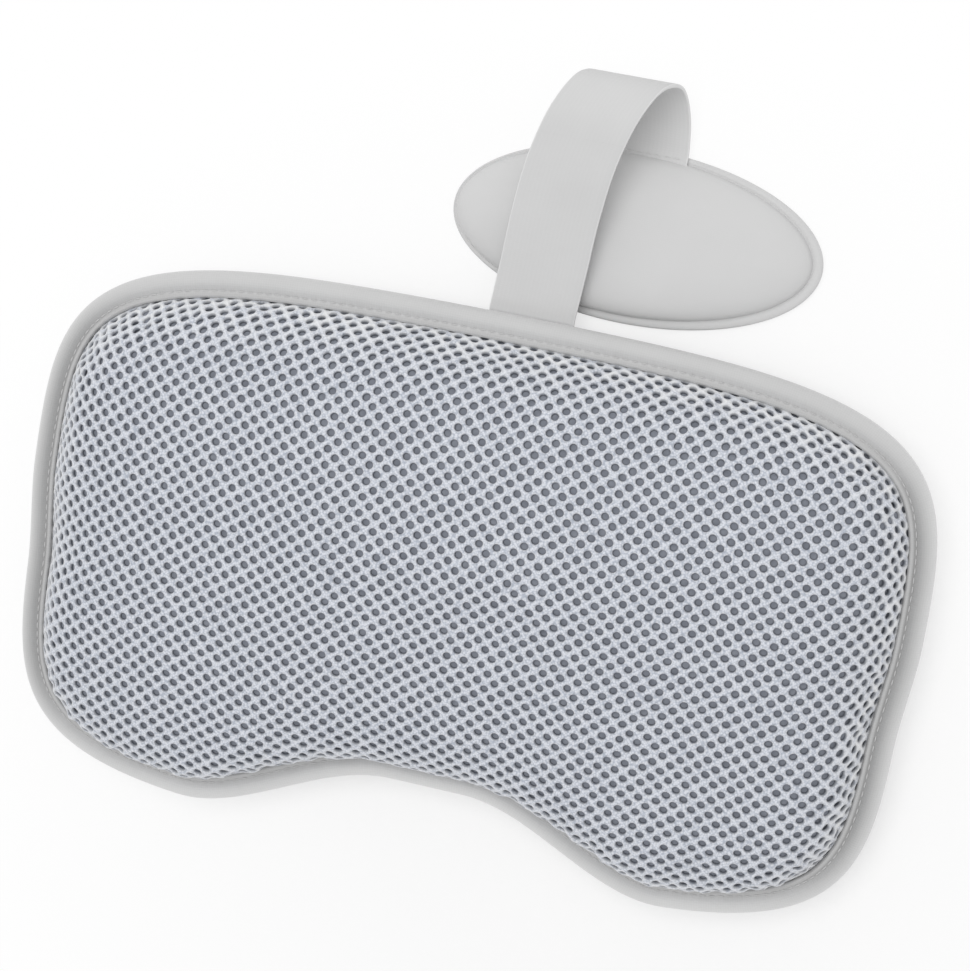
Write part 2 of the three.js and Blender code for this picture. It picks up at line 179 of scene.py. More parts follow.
# Counterweight: its flange, the rows below it, the weld's groove and the cushion over it
WEIGHT_HALF_LENGTH = 66.6
WEIGHT_HALF_DEPTH = 31
WEIGHT_X = 38.9
WEIGHT_Y = 134.6
WEIGHT_FLANGE = 2.2
WEIGHT_OFF_X = 1.2
WEIGHT_OFF_Y = -0.45
WEIGHT_BELOW = [
    (8, 0, 0.5), (6, 0, 0), (1.5, 0.05, 0), (0.35, 0.4, 0), (0, 1.0, 0),
    (0.25, 1.15, 0), (0, 1.3, 0), (0.2, 1.9, 0), (0.55, 2.25, 0),
]
WEIGHT_GROOVE = [(-0.45, 2.3), (-0.2, 2.1), (0.1, 2.02), (0.3, 2.2)]
WEIGHT_WALL_INSET = 0.4
WEIGHT_WALL_TOP = 2.6
WEIGHT_TOP = 9.6
WEIGHT_CROWN_POWER = 2.4
WEIGHT_CROWN_ANGLES = np.radians(np.arange(0, 86, 7))

# Binding: its section as insets and heights, and the painted shade and light on the tape above,
# below and at the ends
BINDING_SECTION = np.array([
    (9.0, 16.25), (9.6, 16.5), (9.65, 17.3), (9.3, 18.0), (8.7, 18.4), (8.0, 18.25), (7.45, 17.6),
    (6.9, 17.3), (6.3, 17.55), (5.4, 18.25), (4.2, 18.6), (2.9, 18.4), (1.6, 17.6), (0.6, 16.5),
    (0.1, 15.2), (0, 14), (0.1, 12.8), (0.6, 11.5), (1.6, 10.75), (3.5, 10.55), (7, 10.55),
    (9.2, 10.6), (9.5, 11.1), (9.2, 11.7), (1.5, 11.75), (1.5, 16.25)])
FURROW_INSET = 6.9
FURROW_PAINTED_SHADE = (0.77, 0.76, 0.48)
EDGE_PAINTED_LIGHT = (0.8, 1, 1)
PAINTED_SHADE_POWER = 1.6
# A painted shadow along the seam beside the mesh, and painted shade on the rib
SEAM_PAINTED_SHADOW = (0.66, 0.5, 0.42)
RIB_PAINTED_SHADE = 0.68
# Rows of the section that end the seam and the rib, and the first one under the round edge
SEAM_ROWS = 4
RIB_ROWS = 6
UNDER_ROW = 16

# Stitches: the furrow's line is shorter than the outline, and the strap passes through a gap below
STITCH_LENGTH = 2.5
STITCH_PITCH = 3.3
STITCH_RADIUS = 0.29
STITCH_DIP = 0.9
EDGE_STITCH_HIGH = 17.55
EDGE_STITCH_LOW = 10.5
EDGE_STITCH_SHORTER = 45
EDGE_STITCH_CLEARANCE = 2
TAIL_BOX = (2.2, 9.6)
TAIL_BOX_STITCHES = 8
TAB_STITCHES = 8
TAB_STITCH_Y = 164.3
TAB_STITCH_LIFT = 0.75


def linear(code):
    """An sRGB hex colour as linear RGBA."""
    parts = [int(code[k:k + 2], 16) / 255 for k in (1, 3, 5)]
    return [p / 12.92 if p <= 0.04045 else ((p + 0.055) / 1.055) ** 2.4 for p in parts] + [1]


def signed_power(value, power):
    return np.sign(value) * np.abs(value) ** power


def ease(value, low, high):
    """0 up to low, 1 from high on, and a smooth step between."""
    part = np.clip((value - low) / (high - low), 0, 1)
    return part * part * (3 - 2 * part)


def travelled(line):
    """The distance along a line to each of its points."""
    return np.append(0, np.cumsum(np.linalg.norm(np.diff(line, axis=0), axis=1)))


def notch_share(x, up):
    """How far into the notch a point of the long lower edge lies, from 0 to 1."""
    return np.where(up < 0, 1 - ease(abs(x), NOTCH_FLOOR, NOTCH_HALF_WIDTH), 0)


def pillow_curve(angle):
    """Rounded rectangle with an arched upper edge, sides that taper downwards and a notch below."""
    across, up = np.cos(angle), np.sin(angle)
    power = np.where(up > 0, 2 / TOP_CORNER_POWER, 2 / LOBE_CORNER_POWER)
    x = HALF_WIDTH * signed_power(across, power)
    y = np.where(up > 0, TOP_REACH - TOP_ARCH, LOBE_REACH) * signed_power(up, power)
    taper = 1 - SIDE_TAPER / HALF_WIDTH * ease(TAPER_START - y, 0, TAPER_LENGTH)
    arch = np.where(up > 0, TOP_ARCH * np.cos(np.pi * x / (2 * HALF_WIDTH)) ** 2, 0)
    return np.stack([x * taper, y + arch + NOTCH_DEPTH * notch_share(x, up)], 1)


def pillow_spine(point):
    return np.stack([SPINE_HALF_WIDTH * point[:, 0] / HALF_WIDTH, np.full(len(point), SPINE_Y)], 1)


def weight_curve(angle):
    return np.stack([
        WEIGHT_X + WEIGHT_HALF_LENGTH * np.cos(angle),
        WEIGHT_Y + WEIGHT_HALF_DEPTH * np.sin(angle),
    ], 1)


def weight_spine(point):
    reach = (WEIGHT_HALF_LENGTH - WEIGHT_HALF_DEPTH) / WEIGHT_HALF_LENGTH
    return np.stack([WEIGHT_X + reach * (point[:, 0] - WEIGHT_X), np.full(len(point), WEIGHT_Y)], 1)


class Outline:
    """Points evenly along a closed curve, each with its inward normal and its spine point."""

    def __init__(self, curve, spine, count):
        dense = curve(np.linspace(0, 2 * np.pi, CURVE_POINTS))
        gone = np.concatenate([[0], np.cumsum(np.hypot(*np.diff(dense, axis=0).T))])
        self.length = gone[-1]
        # The corners lie at the odd eighths of the turn
        self.corner_shares = [gone[(CURVE_POINTS - 1) * k // 8] / gone[-1] for k in (1, 3, 5, 7)]

        def at(distance):
            return np.stack([np.interp(distance % gone[-1], gone, dense[:, k]) for k in (0, 1)], 1)

        self.distance = np.arange(count) / count * gone[-1]
        along = at(self.distance + NORMAL_REACH) - at(self.distance - NORMAL_REACH)
        along /= np.linalg.norm(along, axis=1)[:, None]
        self.point = at(self.distance)
        self.inward = np.stack([-along[:, 1], along[:, 0]], 1)
        self.spine = spine(self.point)

    def ring(self, inset, height, share=0):
        inset = np.broadcast_to(inset, len(self.point))[:, None]
        flat = self.point + self.inward * inset
        flat = flat + (self.spine - flat) * share
        return np.column_stack([flat, np.broadcast_to(height, len(flat))])


def pillow_outline(count):
    return Outline(pillow_curve, pillow_spine, count)


def new_piece(name, points, faces):
    """A mesh object from points in millimetres."""
    mesh = bpy.data.meshes.new(name)
    mesh.from_pydata((np.asarray(points) * MM).tolist(), [], [list(f) for f in faces])
    mesh.update()
    piece = bpy.data.objects.new(name, mesh)
    bpy.context.scene.collection.objects.link(piece)
    return piece


def pick(piece):
    """Selects one piece alone."""
    bpy.ops.object.select_all(action="DESELECT")
    piece.select_set(True)
    bpy.context.view_layer.objects.active = piece


def coordinates(piece):
    """A piece's points in millimetres."""
    out = np.empty(len(piece.data.vertices) * 3)
    piece.data.vertices.foreach_get("co", out)
    return out.reshape(-1, 3) / MM


def place(piece, points):
    """Moves a piece's points to places in millimetres."""
    piece.data.vertices.foreach_set("co", (np.asarray(points) * MM).ravel())
    piece.data.update()


def ringed(name, rings, closed=False, cap_first=False, cap_last=False, inside=False):
    """A circle is laid on the first ring, and its edge is extruded on to each next ring."""
    bpy.ops.object.select_all(action="DESELECT")
    bpy.ops.mesh.primitive_circle_add(vertices=len(rings[0]), radius=0.1)
    piece = bpy.context.object
    piece.name = piece.data.name = name
    place(piece, rings[0])
    bpy.ops.object.mode_set(mode="EDIT")
    mesh = bmesh.from_edit_mesh(piece.data)
    for layer in ("spoke", "row"):
        mesh.verts.layers.int.new(layer)
    spoke = mesh.verts.layers.int["spoke"]
    for k, vert in enumerate(mesh.verts):
        vert[spoke] = k
    bpy.ops.mesh.select_all(action="SELECT")
    if cap_first:
        bpy.ops.mesh.edge_face_add()
    for number, ring in enumerate(rings[1:] + ([rings[0]] if closed else []), 1):
        bpy.ops.mesh.extrude_region_move()
        mesh = bmesh.from_edit_mesh(piece.data)
        spoke, row = mesh.verts.layers.int["spoke"], mesh.verts.layers.int["row"]
        for vert in mesh.verts:
            if vert.select:
                vert.co = ring[vert[spoke]] * MM
                vert[row] = number
        bmesh.update_edit_mesh(piece.data)
    if cap_last:
        bpy.ops.mesh.edge_face_add()
    bpy.ops.mesh.select_all(action="SELECT")
    bpy.ops.mesh.remove_doubles(threshold=1e-6)
    bpy.ops.mesh.normals_make_consistent(inside=inside)
    bpy.ops.object.mode_set(mode="OBJECT")
    return piece


def add_tones(piece, name, values):
    """A number for each vertex, which a material reads."""
    layer = piece.data.attributes.new(name, "FLOAT", "POINT")
    layer.data.foreach_set("value", values.astype(np.float32))


def read_marks(piece, name):
    """The number of each vertex's spoke or row."""
    out = np.empty(len(piece.data.vertices), np.int32)
    piece.data.attributes[name].data.foreach_get("value", out)
    return out


def lay_weave(piece, around, across):
    """A map in metres from the rings: the distance around, and the distance across the section.

    The lists end with the whole distance, which closes the seam.
    """
    mesh = piece.data
    vertex = np.empty(len(mesh.loops), np.int32)
    mesh.loops.foreach_get("vertex_index", vertex)
    size = np.empty(len(mesh.polygons), np.int32)
    mesh.polygons.foreach_get("loop_total", size)
    face = np.repeat(np.arange(len(size)), size)
    lay = []
    for layer, distance in (("spoke", around), ("row", across)):
        mark = read_marks(piece, layer)[vertex] % (len(distance) - 1)
        most = np.zeros(len(size), np.int32)
        np.maximum.at(most, face, mark)
        seam = (mark == 0) & (most[face] > 1)
        lay.append(np.asarray(distance)[np.where(seam, len(distance) - 1, mark)])
    weave = mesh.uv_layers.new(name="weave")
    weave.data.foreach_set("uv", (np.stack(lay, 1) * MM).ravel())


def smooth(piece, angle=SHARP_ANGLE):
    """Smooth shading, except across edges sharper than the angle in degrees."""
    pick(piece)
    bpy.ops.object.shade_smooth_by_angle(angle=math.radians(angle))


def finish(piece, material, body, slot, *nodes):
    """Gives a piece its material and its body, and hides the CAD nodes that it stands for.

    A piece that is blended across a joint rides on no body of its own. Its slot is not used.
    """
    piece.data.materials.clear()
    piece.data.materials.append(material)
    if body:
        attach(piece, body)
    if nodes:
        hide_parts(*nodes)
    return piece


class Carrier:
    """Finds points of a flat mesh in its triangles, so that values can be carried to them."""

    def __init__(self, flat, triangles):
        self.flat, self.triangles = flat, np.asarray(triangles)
        self.tree = BVHTree.FromPolygons(
            [(x, y, 0) for x, y in flat.tolist()], self.triangles.tolist())

    def find(self, points):
        hit = np.array([self.tree.find_nearest((x, y, 0))[2] for x, y in points.tolist()])
        corner = self.triangles[hit]
        a, b, c = (self.flat[corner[:, k]] for k in range(3))
        ab, ac, ap = b - a, c - a, points - a
        whole = ab[:, 0] * ac[:, 1] - ab[:, 1] * ac[:, 0]
        whole = np.where(abs(whole) < 1e-9, 1e-9, whole)
        second = (ap[:, 0] * ac[:, 1] - ap[:, 1] * ac[:, 0]) / whole
        third = (ab[:, 0] * ap[:, 1] - ab[:, 1] * ap[:, 0]) / whole
        weight = np.stack([1 - second - third, second, third], 1).clip(0, 1)
        self.corner, self.weight = corner, weight / weight.sum(1)[:, None]

    def carry(self, values):
        picked = values[self.corner]
        return (picked * self.weight.reshape(self.weight.shape + (1,) * (picked.ndim - 2))).sum(1)


def add_node(tree, kind, inputs, **settings):
    """One node with its settings, each input being a value or a link.

    A colour mix takes its share and two colours at 0, 6 and 7, and gives its colour at output 2.
    """
    made = tree.nodes.new(kind)
    for name, value in settings.items():
        setattr(made, name, value)
    for name, value in inputs.items():
        if isinstance(value, bpy.types.NodeSocket):
            tree.links.new(value, made.inputs[name])
        else:
            made.inputs[name].default_value = value
    return made


def new_material(name):
    """A material with an empty node tree, and the object's own coordinates to draw on."""
    material = bpy.data.materials.new(name)
    material.use_nodes = True
    tree = material.node_tree
    tree.nodes.clear()
    return material, tree, add_node(tree, "ShaderNodeTexCoord", {}).outputs["Object"]


def knitted_polyester():
    """Knitted polyester spacer mesh: matt white yarn with a cool cast, dark only in its holes,
    whose walls take painted shade, and with painted highlights at the holes' lips and beside the
    seam.
    """
    material, tree, where = new_material("knitted_polyester")
    # Yarn loops 0.55 mm apart, drawn at 0.8 mm so that they show
    loops = add_node(tree, "ShaderNodeTexVoronoi", {"Vector": where, "Scale": 1000 / 0.8})
    # A broad change of tone, 30 mm across
    broad = add_node(tree, "ShaderNodeTexNoise", {
        "Vector": where, "Scale": 1000 / 30, "Detail": 2})
    tone = add_node(tree, "ShaderNodeMix", {
        0: broad.outputs[0], 6: linear("#e3e7f0"), 7: linear("#ebeef6")}, data_type="RGBA")
    # A painted highlight gives each hole a paler ring at its lip
    ring = add_node(tree, "ShaderNodeAttribute", {}, attribute_name="ring")
    lip_highlight_tone = add_node(tree, "ShaderNodeMix", {
        0: ring.outputs["Fac"], 6: tone.outputs[2], 7: linear("#f4f6fb")}, data_type="RGBA")
    gaps = add_node(tree, "ShaderNodeMapRange", {
        "Value": loops.outputs["Distance"], "From Min": 0.3, "From Max": 0.85})
    speck = add_node(tree, "ShaderNodeMix", {
        0: gaps.outputs[0], 6: lip_highlight_tone.outputs[2], 7: linear("#bdc3cf")}, data_type="RGBA")
    # Beside the seam a painted highlight whitens the knit up its flank, in patches about 3 mm
    # across
    seam_highlight = add_node(tree, "ShaderNodeAttribute", {}, attribute_name="seam_highlight")
    patch = add_node(tree, "ShaderNodeTexNoise", {"Vector": where, "Scale": 1000 / 3, "Detail": 1})
    patchy = add_node(tree, "ShaderNodeMapRange", {
        "Value": patch.outputs[0], "From Min": 0.35, "From Max": 0.65,
        "To Min": 0.1, "To Max": 1.3})
    seam_highlight_share = add_node(tree, "ShaderNodeMath", {
        0: seam_highlight.outputs["Fac"], 1: patchy.outputs[0]}, operation="MULTIPLY", use_clamp=True)
    closed = add_node(tree, "ShaderNodeMix", {
        0: seam_highlight_share.outputs[0], 6: speck.outputs[2], 7: linear("#fbfcfe")}, data_type="RGBA")
    # Painted shade darkens each hole's wall soon below its lip
    depth = add_node(tree, "ShaderNodeAttribute", {}, attribute_name="depth")
    deep = add_node(tree, "ShaderNodeMath", {
        0: depth.outputs["Fac"], 1: 0.55}, operation="POWER")
    shade = add_node(tree, "ShaderNodeMix", {
        0: deep.outputs[0], 6: closed.outputs[2], 7: linear("#454a54")}, data_type="RGBA")
    bump = add_node(tree, "ShaderNodeBump", {
        "Strength": 0.35, "Distance": 0.0003, "Height": loops.outputs["Distance"]}, invert=True)
    skin = add_node(tree, "ShaderNodeBsdfPrincipled", {
        "Base Color": shade.outputs[2], "Roughness": 0.85, "IOR": 1.45, "Sheen Weight": 0.7,
        "Sheen Roughness": 0.35, "Normal": bump.outputs[0]})
    add_node(tree, "ShaderNodeOutputMaterial", {"Surface": skin.outputs[0]})
    return material


def woven_cloth(name, light, dark, thread, relief, roughness, sheen, weave=None, painted_light_and_shade=None):
    """Plain woven polyester: crossing warp and weft, and a broad change of tone.

    The threads follow the piece's own map where it has one, and the object's X and Y elsewhere.
    Where an attribute is given, painted shade and painted light multiply into the colour.
    """
    material, tree, where = new_material(name)
    lay = add_node(tree, "ShaderNodeUVMap", {}, uv_map=weave).outputs[0] if weave else where
    broad = add_node(tree, "ShaderNodeTexNoise", {
        "Vector": where, "Scale": 1000 / 22, "Detail": 3})
    wander = {"Vector": lay, "Scale": WAVE_PER_MM / thread, "Distortion": 0.6, "Detail Scale": 2}
    warp = add_node(tree, "ShaderNodeTexWave", wander, bands_direction="X")
    weft = add_node(tree, "ShaderNodeTexWave", wander, bands_direction="Y")
    cross = add_node(tree, "ShaderNodeMath", {
        0: warp.outputs[1], 1: weft.outputs[1]}, operation="ADD")
    half = add_node(tree, "ShaderNodeMath", {0: cross.outputs[0], 1: 0.5}, operation="MULTIPLY")
    tone = add_node(tree, "ShaderNodeMix", {
        0: broad.outputs[0], 6: linear(dark), 7: linear(light)}, data_type="RGBA")
    lines = add_node(tree, "ShaderNodeMapRange", {
        "Value": half.outputs[0], "To Min": 1 - relief / 6, "To Max": 1})
    shade = add_node(tree, "ShaderNodeMix", {
        0: 1, 6: tone.outputs[2], 7: lines.outputs[0]}, data_type="RGBA", blend_type="MULTIPLY")
    # Painted shade and painted light, read from the attribute
    if painted_light_and_shade:
        painted_shading = add_node(tree, "ShaderNodeAttribute", {}, attribute_name=painted_light_and_shade)
        shade = add_node(tree, "ShaderNodeMix", {
            0: 1, 6: shade.outputs[2], 7: painted_shading.outputs["Fac"]},
            data_type="RGBA", blend_type="MULTIPLY")
    bump = add_node(tree, "ShaderNodeBump", {
        "Strength": relief, "Distance": 0.0002, "Height": half.outputs[0]})
    skin = add_node(tree, "ShaderNodeBsdfPrincipled", {
        "Base Color": shade.outputs[2], "Roughness": roughness, "IOR": 1.45,
        "Sheen Weight": sheen, "Sheen Roughness": 0.5, "Normal": bump.outputs[0]})
    add_node(tree, "ShaderNodeOutputMaterial", {"Surface": skin.outputs[0]})
    return material


def fibrous(name, light, dark, size, relief):
    """Spun or felted polyester with no weave: a fine matt grit that scatters the light."""
    material, tree, where = new_material(name)
    grit = add_node(tree, "ShaderNodeTexNoise", {
        "Vector": where, "Scale": 1000 / size, "Detail": 2})
    tone = add_node(tree, "ShaderNodeMix", {
        0: grit.outputs[0], 6: linear(dark), 7: linear(light)}, data_type="RGBA")
    bump = add_node(tree, "ShaderNodeBump", {
        "Strength": relief, "Distance": 0.0002, "Height": grit.outputs[0]})
    skin = add_node(tree, "ShaderNodeBsdfPrincipled", {
        "Base Color": tone.outputs[2], "Roughness": 0.95, "IOR": 1.45, "Normal": bump.outputs[0]})
    add_node(tree, "ShaderNodeOutputMaterial", {"Surface": skin.outputs[0]})
    return material


def coated_webbing():
    """Woven polyester webbing with a smooth coat: even grey, faint ribs and a painted highlight
    along the cut edges.
    """
    material, tree, where = new_material("coated_polyester_webbing")
    lay = add_node(tree, "ShaderNodeUVMap", {}, uv_map="weave").outputs[0]
    across = add_node(tree, "ShaderNodeSeparateXYZ", {"Vector": lay}).outputs["X"]
    broad = add_node(tree, "ShaderNodeTexNoise", {
        "Vector": where, "Scale": 1000 / 22, "Detail": 3})
    # Warp ribs 0.6 mm apart, drawn at 1.5 mm so that they show, crossed by picks every 0.9 mm
    ribs = add_node(tree, "ShaderNodeTexWave", {
        "Vector": lay, "Scale": WAVE_PER_MM / 1.5, "Distortion": 0.3}, bands_direction="X")
    picks = add_node(tree, "ShaderNodeTexWave", {
        "Vector": lay, "Scale": WAVE_PER_MM / 0.9, "Distortion": 0.3}, bands_direction="Y")
    cross = add_node(tree, "ShaderNodeMath", {
        0: ribs.outputs[1], 1: picks.outputs[1]}, operation="ADD")
    tone = add_node(tree, "ShaderNodeMix", {
        0: broad.outputs[0], 6: linear("#d2d2d2"), 7: linear("#d8d8d8")}, data_type="RGBA")
    ribbed = add_node(tree, "ShaderNodeMapRange", {
        "Value": ribs.outputs[1], "To Min": 0.988, "To Max": 1})
    lined = add_node(tree, "ShaderNodeMix", {
        0: 1, 6: tone.outputs[2], 7: ribbed.outputs[0]}, data_type="RGBA", blend_type="MULTIPLY")
    # A painted highlight pales the strap's cut edges
    middle = add_node(tree, "ShaderNodeMath", {
        0: across, 1: STRAP_WIDTH / 2 * MM}, operation="SUBTRACT")
    aside = add_node(tree, "ShaderNodeMath", {0: middle.outputs[0]}, operation="ABSOLUTE")
    cut = add_node(tree, "ShaderNodeMapRange", {
        "Value": aside.outputs[0], "From Min": (STRAP_WIDTH / 2 - 0.6) * MM,
        "From Max": (STRAP_WIDTH / 2 - 0.1) * MM})
    highlighted_edges = add_node(tree, "ShaderNodeMix", {
        0: cut.outputs[0], 6: lined.outputs[2], 7: linear("#e4e4e4")}, data_type="RGBA")
    bump = add_node(tree, "ShaderNodeBump", {
        "Strength": 0.06, "Distance": 0.0002, "Height": cross.outputs[0]})
    skin = add_node(tree, "ShaderNodeBsdfPrincipled", {
        "Base Color": highlighted_edges.outputs[2], "Roughness": 0.7, "IOR": 1.45,
        "Sheen Weight": 0.05, "Sheen Roughness": 0.5, "Normal": bump.outputs[0]})
    add_node(tree, "ShaderNodeOutputMaterial", {"Surface": skin.outputs[0]})
    return material


def rolled_steel():
    """Mild steel plate, cold rolled: dull grey with fine lines along the roll."""
    material, tree, where = new_material("rolled_steel")
    along = add_node(tree, "ShaderNodeMapping", {"Vector": where, "Scale": (0.05, 1, 1)})
    # Roll lines 0.6 mm apart and 20 times as long
    lines = add_node(tree, "ShaderNodeTexNoise", {"Vector": along.outputs[0], "Scale": 1000 / 0.6})
    rough = add_node(tree, "ShaderNodeMapRange", {
        "Value": lines.outputs[0], "To Min": 0.4, "To Max": 0.6})
    skin = add_node(tree, "ShaderNodeBsdfPrincipled", {
        "Base Color": linear("#8a8d90"), "Metallic": 1, "Roughness": rough.outputs[0]})
    add_node(tree, "ShaderNodeOutputMaterial", {"Surface": skin.outputs[0]})
    return material


mesh_knit = knitted_polyester()
# The liner's brushed pile is mottled every 4 mm
liner_knit = fibrous("brushed_grey_knit", "#a6aab4", "#6e727c", size=4, relief=0.3)
# Tape threads 0.4 mm apart, drawn at 0.9 mm so that they show
# The tape's painted shade and light come from its tone attribute
woven_tape = woven_cloth(
    "woven_polyester_tape", "#ececec", "#e3e3e3", thread=0.9, relief=0.3, roughness=0.9, sheen=0.4,
    weave="weave", painted_light_and_shade="tone")
strap_cloth = coated_webbing()
# Cover and back threads 0.3 mm apart, drawn at 0.7 mm so that they show
weight_cloth = woven_cloth(
    "coated_woven_polyester", "#d8d8d8", "#d3d3d3", thread=0.7, relief=0.06, roughness=0.7,
    sheen=0.05)
back_cloth = woven_cloth(
    "woven_back_cloth", "#cdcdcd", "#c4c4c4", thread=0.7, relief=0.3, roughness=0.9, sheen=0.1)
# Sewing thread shows its spun fibres every 0.5 mm, and the filling its tufts every 1.5 mm
sewing_thread = fibrous("spun_polyester_thread", "#d2d2d2", "#c2c2c2", size=0.5, relief=0.3)
tab_thread = fibrous("spun_grey_thread", "#d8d8d8", "#d0d0d0", size=0.5, relief=0.3)
loose_fibre = fibrous("hollow_polyester_fibre", "#f0f0ec", "#e2e2de", size=1.5, relief=0.6)
steel = rolled_steel()


def crown(outline, step, share=0, depth=0):
    """One ring of the crown: a step in from the neck, then a share of the way on to the spine."""
    neck = outline.point + outline.inward * NECK_INSET
    way = outline.spine - neck
    reach = np.linalg.norm(way, axis=1)
    distance = step + (reach - step) * share
    left = np.clip(1 - distance / reach, 0, 1)
    fade = np.exp(-distance / EDGE_REACH)
    slope_share = 1 - EDGE_RISE_SHARE
    high = (CROWN_TOP - NECK_HIGH) * (1 - CROWN_END_FALL * (outline.point[:, 0] / HALF_WIDTH) ** 2)
    rise = high * (EDGE_RISE_SHARE * (1 - fade) + slope_share * (1 - left ** SLOPE_POWER))
    slope = high * (EDGE_RISE_SHARE * fade / EDGE_REACH
                    + slope_share * SLOPE_POWER * left ** (SLOPE_POWER - 1) / reach)
    start, wane = np.exp(-distance / BULGE_RISE), np.exp(-distance / BULGE_FADE)
    facing_down = np.maximum(0, outline.inward[:, 1]) ** BULGE_POWER
    bulge = LOWER_BULGE * facing_down + NOTCH_BULGE * notch_share(*outline.point.T)
    bulge = bulge * (share < 1)
    angle = np.arctan2(slope, 1 - bulge * wane * (start / BULGE_RISE - (1 - start) / BULGE_FADE))
    gone = distance - bulge * (1 - start) * wane + depth * np.sin(angle)
    flat = neck + way * (gone / reach)[:, None]
    return np.column_stack([flat, NECK_HIGH + rise - depth * np.cos(angle)])


def cover_rows(outline, depth=0):
    """Rows of the front cloth, from under the binding up the flank to the spine."""
    rows = [outline.ring(*row) for row in HIDDEN_ROWS]
    for step in EDGE_STEPS:
        rows.append(crown(outline, step, 0, depth * (1 - np.exp(-step / GATHER_RISE))))
    return rows + [crown(outline, EDGE_STEPS[-1], share, depth) for share in SLOPE_SHARES]


def flat_cut(outline, rows):
    """The rows laid out flat: as seen from above on the crown, where the knit stretches over it.

    On the steep flank, the length that stretching can't give is added outwards.
    """
    outward = outline.point - outline.spine
    outward /= np.linalg.norm(outward, axis=1)[:, None]
    extra = np.zeros(len(outward))
    flat = [rows[-1][:, :2]]
    for outer, inner in zip(rows[-2::-1], rows[:0:-1]):
        along = np.linalg.norm(outer - inner, axis=1)
        above = np.linalg.norm((outer - inner)[:, :2], axis=1)
        extra = extra + np.maximum(0, along / KNIT_STRETCH - above)
        flat.append(outer[:, :2] + outward * extra[:, None])
    return flat[::-1]


def gathers(points):
    """How deep each point of the cut lies in the small uneven gathers, and how much painted
    highlight it takes beside the seam.

    The gathers are deepest at the corners and on the right side, and fade out up the flank.
    """
    outline = pillow_outline(FINE_SPOKES)
    far = 2 * np.pi * outline.distance
    wave = sum(np.sin(far * round(outline.length / long) / outline.length + turn)
               for long, turn in GATHER_WAVES) / len(GATHER_WAVES)
    inward = outline.inward
    corner = 2 * abs(inward[:, 0] * inward[:, 1])
    wave *= GATHER_LOW + GATHER_CORNER * corner + GATHER_RIGHT * np.maximum(0, -inward[:, 0])
    wave = GATHER_MOST * np.tanh(wave / GATHER_MOST)
    fade = [(1 - math.exp(-step / GATHER_RISE)) * math.exp(-step / GATHER_FADE)
            for step in EDGE_STEPS]
    # A painted highlight beside the seam, fading up the flank
    seam_highlight = [math.exp(-step / SEAM_HIGHLIGHT_FADE) for step in EDGE_STEPS]
    level = [0] * len(SLOPE_SHARES)
    fade, seam_highlight = [0] * NECK_ROW + fade + level, [1] * NECK_ROW + seam_highlight + level
    rows = flat_cut(outline, cover_rows(outline))
    guide = Carrier(np.concatenate(rows), ring_triangles(FINE_SPOKES, len(rows)))
    guide.find(points)
    return guide.carry(np.outer(fade, wave).ravel()), guide.carry(np.repeat(seam_highlight, FINE_SPOKES))


def ring_triangles(count, rows):
    """Triangles between rows of points that each go round."""
    made = []
    for r in range(rows - 1):
        for k in range(count):
            n = (k + 1) % count
            a, b, c, d = r * count + k, r * count + n, (r + 1) * count + n, (r + 1) * count + k
            made += [(a, b, c), (a, c, d)]
    return made


